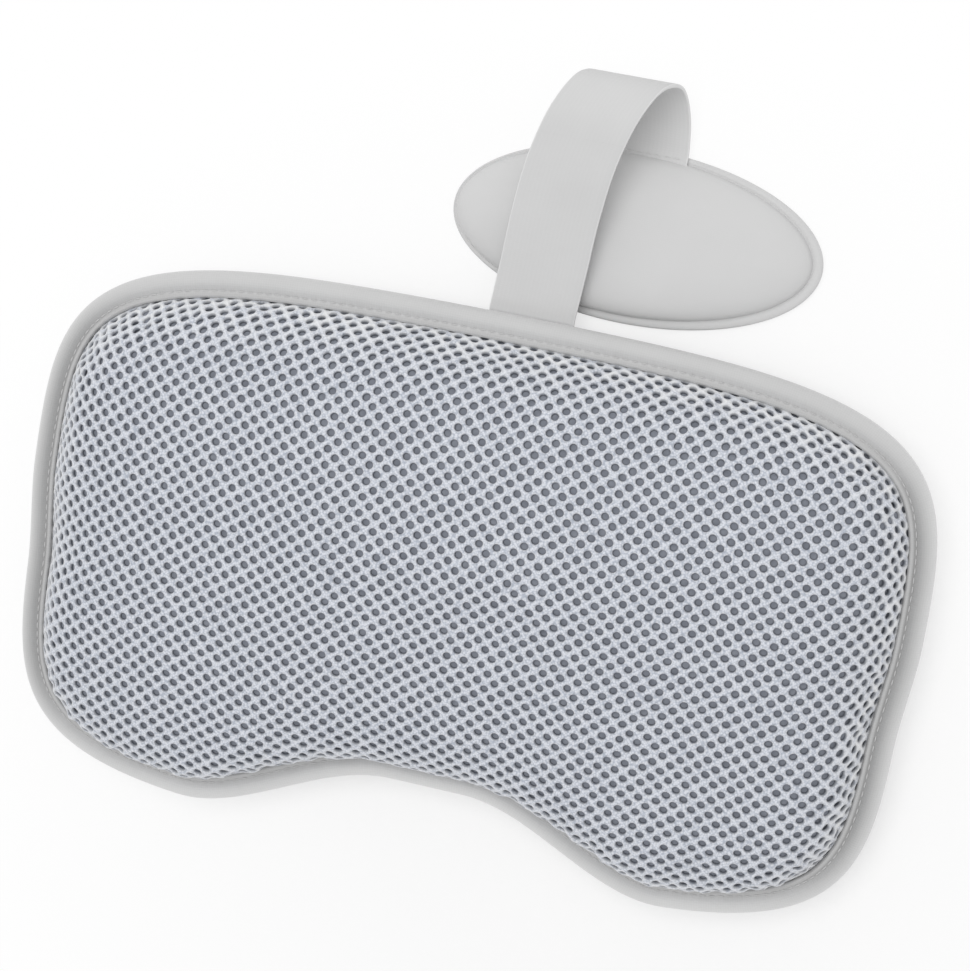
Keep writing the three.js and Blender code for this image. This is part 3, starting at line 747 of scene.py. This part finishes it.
def settled_cover():
    """The front as a settled sheet, with its flat points, their cloth rows and the cut's border."""
    count = FINE_SPOKES
    around = pillow_outline(count)
    flat_rows = flat_cut(around, cover_rows(around))
    rows = cover_rows(around, COVER_START_DEPTH)
    guide = Carrier(np.concatenate(flat_rows), ring_triangles(count, len(rows)))
    formed_rows = np.concatenate(rows)
    height_on_cloth = np.repeat(np.arange(len(rows)), count).astype(float)

    # A grid is stretched between the cut's four sides
    s1, s2, s3, s4 = around.corner_shares
    border = np.append(flat_rows[0], flat_rows[0][:1], axis=0)

    def edge_at(shares):
        at = np.mod(shares, 1) * count
        return np.stack([np.interp(at, np.arange(count + 1), border[:, k]) for k in (0, 1)], 1)

    bpy.ops.object.select_all(action="DESELECT")
    bpy.ops.mesh.primitive_grid_add(x_subdivisions=COVER_COLUMNS, y_subdivisions=COVER_ROWS, size=2)
    sheet = bpy.context.object
    sheet.name = sheet.data.name = "cover_form"
    unit = (coordinates(sheet)[:, :2] * MM + 1) / 2
    u, v = unit[:, 0], unit[:, 1]
    bottom, top = edge_at(s3 + (s4 - s3) * u), edge_at(s2 + (s1 - s2) * u)
    left, right = edge_at(s3 + (s2 - s3) * v), edge_at(s4 - 1 + (s1 - s4 + 1) * v)
    u, v = u[:, None], v[:, None]
    corners = [edge_at(np.array([s])) for s in (s3, s4, s2, s1)]
    flat = (1 - v) * bottom + v * top + (1 - u) * left + u * right - (
        (1 - u) * (1 - v) * corners[0] + u * (1 - v) * corners[1]
        + (1 - u) * v * corners[2] + u * v * corners[3])
    guide.find(flat)
    start = guide.carry(formed_rows)
    rung = guide.carry(height_on_cloth)
    place(sheet, start)

    pins = sheet.vertex_groups.new(name="seam")
    pins.add(list(range(len(rung))), COVER_HOLD, "REPLACE")
    pins.add(np.flatnonzero(rung < NECK_ROW).tolist(), 1, "REPLACE")
    modifier = sheet.modifiers.new("Cloth", "CLOTH")
    setting = modifier.settings
    setting.vertex_group_mass = "seam"
    setting.quality = 6
    setting.mass = 0.1
    setting.tension_stiffness = setting.compression_stiffness = 60
    setting.shear_stiffness = 20
    setting.bending_stiffness = 1
    setting.shrink_min = -COVER_SLACK
    setting.use_pressure = True
    setting.uniform_pressure_force = COVER_PRESSURE
    setting.effector_weights.gravity = 0
    modifier.collision_settings.use_collision = False
    modifier.point_cache.frame_start, modifier.point_cache.frame_end = 1, COVER_FRAMES
    for number in range(1, COVER_FRAMES + 1):
        bpy.context.scene.frame_set(number)
    pick(sheet)
    bpy.ops.object.modifier_apply(modifier="Cloth")
    bpy.context.scene.frame_set(1)
    moved = (coordinates(sheet) - start).reshape(COVER_ROWS + 1, COVER_COLUMNS + 1, 3)
    far = np.linalg.norm(moved, axis=2)
    # No point goes further than the cap, and each then shares its move with those beside it
    moved *= np.minimum(1, COVER_CAP / np.maximum(far, 1e-6))[:, :, None]
    for _ in range(EASE_PASSES):
        wide = np.pad(moved, ((1, 1), (1, 1), (0, 0)), "edge")
        beside = wide[:-2, 1:-1] + wide[2:, 1:-1] + wide[1:-1, :-2] + wide[1:-1, 2:]
        moved = (beside + 4 * moved) / 8
    place(sheet, start + moved.reshape(-1, 3))
    return sheet, flat, rung, flat_rows[0]


def sheet_triangles(sheet):
    sheet.data.calc_loop_triangles()
    out = np.empty(len(sheet.data.loop_triangles) * 3, int)
    sheet.data.loop_triangles.foreach_get("vertices", out)
    return out.reshape(-1, 3)


def sheet_normals(sheet):
    out = np.empty(len(sheet.data.vertices) * 3)
    sheet.data.vertices.foreach_get("normal", out)
    return out.reshape(-1, 3)


def drift(points):
    """Points of the cut moved as a knit's rows and columns wander, never quite straight."""
    x, y = points.T
    return np.stack([
        x + sum(far * np.sin(2 * np.pi * y / long + turn) for long, far, turn in DRIFT_X),
        y + sum(far * np.sin(2 * np.pi * x / long + turn) for long, far, turn in DRIFT_Y)], 1)


def mesh_front(sheet, flat, rung):
    """One cell of the mesh, repeated over the cut and carried on to the settled sheet."""
    carrier = Carrier(flat, sheet_triangles(sheet))
    formed, normals = coordinates(sheet), sheet_normals(sheet)
    tips = np.array([[PITCH_X / 2, 0], [0, PITCH_Y / 2], [-PITCH_X / 2, 0], [0, -PITCH_Y / 2]])
    side = HOLE_SIDES // 4
    rim = np.concatenate([
        tip + (after - tip) * np.arange(side)[:, None] / side
        for tip, after in zip(tips, np.roll(tips, -1, axis=0))])
    turn = 2 * np.pi * np.arange(HOLE_SIDES) / HOLE_SIDES
    circle = np.stack([np.cos(turn), np.sin(turn)], 1)

    pitch, margin = (PITCH_X, PITCH_Y / 2), (LATTICE_MARGIN, 2 * LATTICE_MARGIN)
    first = np.floor(flat.min(0) / pitch).astype(int) - margin
    last = np.ceil(flat.max(0) / pitch).astype(int) + margin
    columns, lines = (np.arange(first[k], last[k] + 1) for k in (0, 1))
    centre = np.array([
        ((c + 0.5 * (r % 2)) * PITCH_X, r * PITCH_Y / 2) for r in lines for c in columns])
    spin = np.array([[math.cos(LATTICE_TURN), -math.sin(LATTICE_TURN)],
                     [math.sin(LATTICE_TURN), math.cos(LATTICE_TURN)]])
    laid = drift(centre @ spin.T)
    carrier.find(laid)
    near = np.linalg.norm(carrier.carry(flat) - laid, axis=1) < OFF_CUT
    centre = centre[near & (carrier.carry(rung) > FIRST_CELL_ROW)]

    # Rim points are shared by neighbouring cells; the lip and the wall belong to one cell
    every = (centre[:, None] + rim[None]).reshape(-1, 2)
    rims, rim_of = np.unique(np.round(every, 3), axis=0, return_inverse=True)
    rim_of = rim_of.reshape(len(centre), HOLE_SIDES)
    # Knitted holes are a little uneven in size and place
    dice = np.random.default_rng(HOLE_SEED)
    half = np.array([HOLE_HALF_WIDTH, HOLE_HALF_HEIGHT])
    half = half * (1 + HOLE_UNEVEN * dice.uniform(-1, 1, (len(centre), 2)))
    middle = centre + HOLE_STRAY * dice.uniform(-1, 1, centre.shape)
    lip = (middle[:, None] + (half + LIP_WIDTH)[:, None] * circle[None]).reshape(-1, 2)
    wall = (middle[:, None] + HOLE_FOOT_SHARE * half[:, None] * circle[None]).reshape(-1, 2)
    points = drift(np.concatenate([rims, lip, wall]) @ spin.T)
    depth = np.concatenate([
        np.zeros(len(rims)), np.full(len(lip), LIP_DEPTH), np.full(len(wall), FACE_DEPTH)])
    carrier.find(points)
    normal = carrier.carry(normals)
    normal /= np.linalg.norm(normal, axis=1)[:, None]
    gathered, seam_highlight = gathers(points)
    solid = carrier.carry(formed) - normal * (depth + gathered)[:, None]

    first_lip, first_wall = len(rims), len(rims) + len(lip)
    faces = []
    for cell in range(len(centre)):
        for k in range(HOLE_SIDES):
            n = (k + 1) % HOLE_SIDES
            a, b = rim_of[cell, k], rim_of[cell, n]
            c, d = (first_lip + cell * HOLE_SIDES + q for q in (n, k))
            e, f = (first_wall + cell * HOLE_SIDES + q for q in (n, k))
            faces += [(a, b, c, d), (d, c, e, f)]
    front = new_piece("knit_cover", solid, faces)
    # depth carries painted shade down the hole walls, ring a painted highlight at each lip, and
    # seam_highlight a painted highlight beside the seam
    for name, value in (("depth", depth / FACE_DEPTH), ("ring", depth > 0), ("seam_highlight", seam_highlight)):
        add_tones(front, name, value)
    front.data.shade_smooth()
    return front


def copy_sheet(name, sheet, depth):
    """The settled sheet again, deeper by its normals."""
    copy = sheet.copy()
    copy.data = sheet.data.copy()
    copy.name = copy.data.name = name
    copy.vertex_groups.clear()
    bpy.context.scene.collection.objects.link(copy)
    place(copy, coordinates(sheet) - sheet_normals(sheet) * depth)
    copy.data.shade_smooth()
    return copy


def fibre_core(sheet, flat):
    """The filling as one closed form: flat below, up the back's slope and close under the cover."""
    outline = pillow_outline(CORE_SPOKES)
    below = [outline.ring(inset, high + CORE_LIFT, share)
             for inset, high, share in reversed(BACK_SLOPE_ROWS)]
    laid = flat_cut(outline, cover_rows(outline))[CORE_FIRST_ROW:-1]
    carrier = Carrier(flat, sheet_triangles(sheet))
    carrier.find(np.concatenate(laid))
    over = carrier.carry(coordinates(sheet)) - CORE_DEPTH * carrier.carry(sheet_normals(sheet))
    above = list(over.reshape(len(laid), -1, 3))
    return ringed("fibre_core", below + above, cap_first=True, cap_last=True)


def bound_edge():
    """Tape folded round the raw edges: a rib beside the mesh, a stitched furrow, a round edge."""
    section = BINDING_SECTION
    outline = pillow_outline(FINE_SPOKES)
    piece = ringed("bound_edge", [outline.ring(*s) for s in section], closed=True)
    lay_weave(piece, np.append(outline.distance, outline.length),
              travelled(np.vstack([section, section[:1]])))

    # Painted shade darkens the tape in the seam, on the rib and in the furrow, most at the pillow's
    # ends, and painted light leaves its round edge pale
    upper, lower = (np.maximum(0, way * outline.inward[:, 1]) ** 2 for way in (-1, 1))
    sides = np.stack([upper, lower, outline.inward[:, 0] ** 2], 1)
    furrow_shade, edge_light = sides @ FURROW_PAINTED_SHADE, sides @ EDGE_PAINTED_LIGHT
    inside = 1 - (1 - np.clip(section[:, 0] / FURROW_INSET, 0, 1)) ** PAINTED_SHADE_POWER
    inside[UNDER_ROW:] = 0
    spoke, row = read_marks(piece, "spoke"), read_marks(piece, "row") % len(section)
    tone = edge_light[spoke] + (furrow_shade - edge_light)[spoke] * inside[row]
    tone[row < RIB_ROWS] = RIB_PAINTED_SHADE
    tone[row < SEAM_ROWS] = (sides @ SEAM_PAINTED_SHADOW)[spoke[row < SEAM_ROWS]]
    add_tones(piece, "tone", tone)
    return piece


def back_panel():
    """Back cloth: level under the binding, down a slope, and flat where it rests."""
    outline = pillow_outline(BACK_SPOKES)
    rows = [outline.ring(*row) for row in BACK_ROWS]
    return ringed("back_cloth", rows, cap_last=True, inside=True), outline


# Front, liner and filling

sheet, flat, rung, border = settled_cover()
front = finish(mesh_front(sheet, flat, rung), mesh_knit, "pillow", "spacer_mesh", "mesh_cover")
liner = finish(
    copy_sheet("grey_liner", sheet, LINER_DEPTH), liner_knit, "pillow", "liner", "liner_cloth")
core = finish(fibre_core(sheet, flat), loose_fibre, "pillow", "fibre", "fibre_filling")
bpy.data.objects.remove(sheet)
smooth(core)

# Binding and back

edge = finish(bound_edge(), woven_tape, "pillow", "tape", "edge_binding")
smooth(edge, angle=50)
back, back_outline = back_panel()
finish(back, back_cloth, "pillow", "tape", "back_panel")
smooth(back)


def stitch_shape():
    """One stitch: a short thread, fat in the middle, its ends going down into the cloth."""
    bpy.ops.object.select_all(action="DESELECT")
    bpy.ops.mesh.primitive_uv_sphere_add(segments=6, ring_count=5, radius=0.5)
    one = bpy.context.object
    points = coordinates(one) * MM
    faces = [tuple(p.vertices) for p in one.data.polygons]
    bpy.data.objects.remove(one)
    x, y, along = points.T
    high = y * 2 * STITCH_RADIUS - STITCH_DIP * along ** 2 * STITCH_RADIUS
    return np.stack([along * STITCH_LENGTH, x * 2 * STITCH_RADIUS, high], 1), faces


def stitches(name, where, along, up):
    """One stitch copied to each place, laid along one direction and standing up in the other."""
    shape, faces = stitch_shape()
    along = along / np.linalg.norm(along, axis=1)[:, None]
    side = np.cross(up, along)
    points = (where[:, None] + shape[None, :, :1] * along[:, None]
              + shape[None, :, 1:2] * side[:, None] + shape[None, :, 2:] * up[:, None])
    every = [tuple(k * len(shape) + c for c in f) for k in range(len(where)) for f in faces]
    made = new_piece(name, points.reshape(-1, 3), every)
    made.data.shade_smooth()
    return made


def edge_stitches():
    """A line of stitches through the binding, above and below, with a gap below for the strap."""
    length = pillow_outline(1).length
    count = round((length - EDGE_STITCH_SHORTER) / STITCH_PITCH)
    outline = pillow_outline(count)
    along = np.column_stack([outline.inward[:, 1], -outline.inward[:, 0], np.zeros(count)])
    above, below = (outline.ring(FURROW_INSET, z) for z in (EDGE_STITCH_HIGH, EDGE_STITCH_LOW))
    aside = abs(below[:, 0] - STRAP_X) - STRAP_WIDTH / 2
    clear = (aside > EDGE_STITCH_CLEARANCE) | (below[:, 1] < 0)
    up = np.array([[0, 0, 1.0]] * count + [[0, 0, -1.0]] * clear.sum())
    return stitches("edge_stitches", np.concatenate([above, below[clear]]),
                    np.concatenate([along, along[clear]]), up)


finish(edge_stitches(), sewing_thread, "pillow", "tape", "binding_thread")


# Strap

def strap_route():
    """The loop's centreline as one smooth curve through its points."""
    points = [ROOT, *(ROOT + p for p in np.array(LEAD_POINTS)),
              *(TAB_HINGE + p for p in np.array(LOOP_POINTS)), TAB_HINGE]
    points = [2 * points[0] - points[1], *points, 2 * points[-1] - points[-2]]
    dense = []
    for a, b, c, d in zip(points, points[1:], points[2:], points[3:]):
        before, here, after = (np.linalg.norm(q - p) ** 0.5 for p, q in ((a, b), (b, c), (c, d)))
        enter = ((b - a) / before - (c - a) / (before + here) + (c - b) / here) * here
        leave = ((c - b) / here - (d - b) / (here + after) + (d - c) / after) * here
        for t in np.linspace(0, 1, ROUTE_STEPS, endpoint=False):
            dense.append((2 * t ** 3 - 3 * t ** 2 + 1) * b + (t ** 3 - 2 * t ** 2 + t) * enter
                         + (3 * t ** 2 - 2 * t ** 3) * c + (t ** 3 - t ** 2) * leave)
    dense.append(points[-2])
    return np.array(dense)


def resample(line, step):
    """A line's points again, at even steps."""
    gone = travelled(line)
    at = np.linspace(0, gone[-1], max(2, round(gone[-1] / step)) + 1)
    return np.stack([np.interp(at, gone, line[:, k]) for k in range(3)], 1)


def strap_piece(name, line, begins):
    """A flat grid is laid along the line and thickened, and its two long edges are rounded."""
    line = resample(line, STRAP_STEP)
    last = len(line) - 1
    bpy.ops.object.select_all(action="DESELECT")
    bpy.ops.mesh.primitive_grid_add(
        x_subdivisions=STRAP_COLUMNS, y_subdivisions=last, size=1, calc_uvs=True)
    strap = bpy.context.object
    strap.name = strap.data.name = name
    unit = coordinates(strap)[:, :2] * MM + 0.5
    row = np.round(unit[:, 1] * last).astype(np.int32)
    place(strap, line[row] + np.outer((unit[:, 0] - 0.5) * STRAP_WIDTH, [1, 0, 0]))
    strap.data.attributes.new("row", "INT", "POINT").data.foreach_set("value", row)

    # The map of the weave is in metres, and runs on from piece to piece
    length = travelled(line)[-1]
    weave = strap.data.uv_layers[0]
    weave.name = "weave"
    lay = np.empty(len(strap.data.loops) * 2)
    weave.data.foreach_get("uv", lay)
    lay = lay.reshape(-1, 2) * [STRAP_WIDTH * MM, length * MM] + [0, begins * MM]
    weave.data.foreach_set("uv", lay.ravel())

    pick(strap)
    thick = strap.modifiers.new("Thickness", "SOLIDIFY")
    thick.thickness = STRAP_THICKNESS * MM
    thick.offset = 0
    thick.use_even_offset = True
    bpy.ops.object.modifier_apply(modifier="Thickness")
    bpy.ops.object.mode_set(mode="EDIT")
    bpy.ops.mesh.select_mode(type="EDGE")
    bpy.ops.mesh.select_all(action="DESELECT")
    mesh = bmesh.from_edit_mesh(strap.data)
    mark = mesh.verts.layers.int["row"]
    for side in mesh.edges:
        lengthwise = abs(side.verts[0][mark] - side.verts[1][mark]) == 1
        side.select = lengthwise and side.calc_face_angle(0) > math.radians(SHARP_ANGLE)
    bmesh.update_edit_mesh(strap.data)
    bpy.ops.mesh.bevel(offset=STRAP_EDGE_ROUND * MM, segments=2, affect="EDGES")
    bpy.ops.object.mode_set(mode="OBJECT")
    smooth(strap, angle=40)
    return strap


route = strap_route()
tail = np.array([[STRAP_X, TAIL_END_Y, TAIL_END_Z], [STRAP_X, TAIL_BEND_Y, ROOT[2]], ROOT])
gone = travelled(route)
lead_cut, loop_cut = np.searchsorted(gone, [LEAD_LENGTH, LOOP_END])
tab = np.array([TAB_HINGE, [TAB_HINGE[0], TAB_END_Y, TAB_HINGE[2]]])
lead = strap_piece("strap_lead", np.concatenate([tail[:-1], route[:lead_cut + 1]]), 0)
loop = strap_piece("strap_loop", route[lead_cut:loop_cut + 1], gone[lead_cut])
end = strap_piece("strap_end", np.concatenate([route[loop_cut:-1], tab]), gone[loop_cut])
finish(lead, strap_cloth, None, "strap", "strap_tail", "strap_front_leg")
finish(loop, strap_cloth, None, "strap", "strap_rear_leg")
finish(end, strap_cloth, None, "strap", "strap_end_tab")


def tail_stitches(tail):
    """A box of stitches that holds the strap's tail on the back cloth."""
    along = (tail[1] - tail[0]) / np.linalg.norm(tail[1] - tail[0])
    across = np.array([1.0, 0, 0])
    out = np.cross(along, across)
    low, high = TAIL_BOX
    wide = (np.arange(TAIL_BOX_STITCHES) - (TAIL_BOX_STITCHES - 1) / 2) * STITCH_PITCH
    side = wide[-1] + STITCH_LENGTH / 2
    box = [(x, far, across) for far in (low, high) for x in wide]
    box += [(x, far, along) for x in (-side, side)
            for far in (low + (high - low) / 4, high - (high - low) / 4)]
    where = [tail[0] + x * across + far * along + (STRAP_THICKNESS / 2) * out for x, far, _ in box]
    return stitches("tail_stitches", np.array(where), np.array([way for _, _, way in box]),
                    np.tile(out, (len(box), 1)))


finish(tail_stitches(tail), tab_thread, "pillow", "strap")
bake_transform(lead)
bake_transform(loop)
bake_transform(end)


# Counterweight

def weight_cushion():
    """Two skins welded along a thin flange round a low, flat-topped cushion."""
    outline = Outline(weight_curve, weight_spine, WEIGHT_SPOKES)
    turn = np.arctan2((outline.point[:, 1] - WEIGHT_Y) / WEIGHT_HALF_DEPTH,
                      (outline.point[:, 0] - WEIGHT_X) / WEIGHT_HALF_LENGTH)
    # The cushion sits off the middle of its flange, up and to the left
    flange = WEIGHT_FLANGE + WEIGHT_OFF_X * np.cos(turn) + WEIGHT_OFF_Y * np.sin(turn)
    rings = [outline.ring(*row) for row in WEIGHT_BELOW]
    rings += [outline.ring(flange + aside, high) for aside, high in WEIGHT_GROOVE]
    for angle in WEIGHT_CROWN_ANGLES:
        share = 1 - np.cos(angle) ** (2 / WEIGHT_CROWN_POWER)
        lift = np.sin(angle) ** (2 / WEIGHT_CROWN_POWER)
        high = WEIGHT_WALL_TOP + (WEIGHT_TOP - WEIGHT_WALL_TOP) * lift
        rings.append(outline.ring(flange + WEIGHT_WALL_INSET, high, share))
    return ringed("weight_cushion", rings, cap_first=True, cap_last=True)


weight = finish(weight_cushion(), weight_cloth, "counterweight", "strap",
                "weight_top_panel", "weight_bottom_panel", "weight_pad")
smooth(weight, angle=50)
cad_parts["ballast_plate"].data.materials.clear()
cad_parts["ballast_plate"].data.materials.append(steel)


def tab_stitches():
    """A line of stitches across the strap's lapped end."""
    count = TAB_STITCHES
    where = np.tile([0, TAB_STITCH_Y, TAB_HINGE[2] + TAB_STITCH_LIFT], (count, 1))
    where[:, 0] = TAB_HINGE[0] + (np.arange(count) - (count - 1) / 2) * STITCH_PITCH
    along, up = (np.tile(way, (count, 1)) for way in ([1.0, 0, 0], [0, 0, 1.0]))
    return stitches("tab_stitches", where, along, up)


finish(tab_stitches(), tab_thread, "counterweight", "strap", "tab_thread")


# Floor, light and camera, in metres

FLOOR_SIZE = 6
FLOOR_GAP = 0.0004
SHADOW_MIDDLE = (0.05, -0.06, 0)
SHADOW_NEAR, SHADOW_FAR = 0.08, 0.27
SHADOW_WHITE = 0.4


def seen_directly(tree):
    """1 for what the camera sees, also mirrored or through glass, and 0 for light on the object."""
    path = add_node(tree, "ShaderNodeLightPath", {})
    seen = add_node(tree, "ShaderNodeMath", {
        0: path.outputs["Is Camera Ray"], 1: path.outputs["Is Glossy Ray"]}, operation="MAXIMUM")
    seen = add_node(tree, "ShaderNodeMath", {
        0: seen.outputs[0], 1: path.outputs["Is Transmission Ray"]}, operation="MAXIMUM")
    return seen.outputs[0]


def white_floor():
    """Matt white paper: it shows the shadow below the notch, and runs out into plain white."""
    material, tree, where = new_material("white_paper_floor")
    away = add_node(tree, "ShaderNodeVectorMath", {
        0: where, 1: SHADOW_MIDDLE}, operation="DISTANCE")
    share = add_node(tree, "ShaderNodeMapRange", {
        "Value": away.outputs["Value"], "From Min": SHADOW_NEAR, "From Max": SHADOW_FAR,
        "To Min": SHADOW_WHITE, "To Max": 1})
    part = add_node(tree, "ShaderNodeMath", {
        0: seen_directly(tree), 1: share.outputs[0]}, operation="MULTIPLY")
    paper = add_node(tree, "ShaderNodeBsdfDiffuse", {"Color": linear("#ffffff")})
    glow = add_node(tree, "ShaderNodeEmission", {"Color": (1, 1, 1, 1), "Strength": 1.0})
    mixed = add_node(tree, "ShaderNodeMixShader", {
        0: part.outputs[0], 1: paper.outputs[0], 2: glow.outputs[0]})
    add_node(tree, "ShaderNodeOutputMaterial", {"Surface": mixed.outputs[0]})
    return material


bpy.ops.object.select_all(action="DESELECT")
bpy.ops.mesh.primitive_plane_add(size=FLOOR_SIZE, location=(0, 0, -FLOOR_GAP))
floor = bpy.context.object
floor.name = "floor"
floor.data.materials.append(white_floor())

scene = bpy.context.scene
world = bpy.data.worlds.new("studio")
scene.world = world
world.use_nodes = True
tree = world.node_tree
tree.nodes.clear()
# The object is lit plainly from all round, and what lies behind it is white
soft = add_node(tree, "ShaderNodeBackground", {"Color": (1, 1, 1, 1), "Strength": 0.66})
plain = add_node(tree, "ShaderNodeBackground", {"Color": (1, 1, 1, 1), "Strength": 1.0})
mixed = add_node(tree, "ShaderNodeMixShader", {
    0: seen_directly(tree), 1: soft.outputs[0], 2: plain.outputs[0]})
add_node(tree, "ShaderNodeOutputWorld", {"Surface": mixed.outputs[0]})


def lamp(name, stand, aim, size, power):
    """A round soft lamp that faces its aim."""
    data = bpy.data.lights.new(name, "AREA")
    data.shape = "DISK"
    data.size = size
    data.energy = power
    made = bpy.data.objects.new(name, data)
    scene.collection.objects.link(made)
    made.location = stand
    made.rotation_euler = (Vector(aim) - Vector(stand)).to_track_quat("-Z", "Y").to_euler()


lamp("key", stand=(-0.15, 0.45, 1.6), aim=(0, 0.03, 0), size=1.2, power=9.5)

# Camera, fitted to the photograph's outline
CAMERA_PLACE = Vector((0.1848, 0.2379, 0.9751))
CAMERA_AHEAD = Vector((-0.1822, -0.1994, -0.9628))
CAMERA_UP = Vector((-0.2009, 0.9661, -0.162))
FOCAL_PIXELS = 2800
IMAGE_WIDTH = 970
lens = bpy.data.cameras.new("camera")
lens.sensor_width = 36
lens.lens = FOCAL_PIXELS * lens.sensor_width / IMAGE_WIDTH
camera = bpy.data.objects.new("camera", lens)
scene.collection.objects.link(camera)
ahead = CAMERA_AHEAD.normalized()
right = ahead.cross(CAMERA_UP).normalized()
up = right.cross(ahead)
turned = Matrix((right, up, -ahead)).transposed().to_4x4()
camera.matrix_world = Matrix.Translation(CAMERA_PLACE) @ turned
scene.camera = camera

scene.view_settings.view_transform = "Standard"
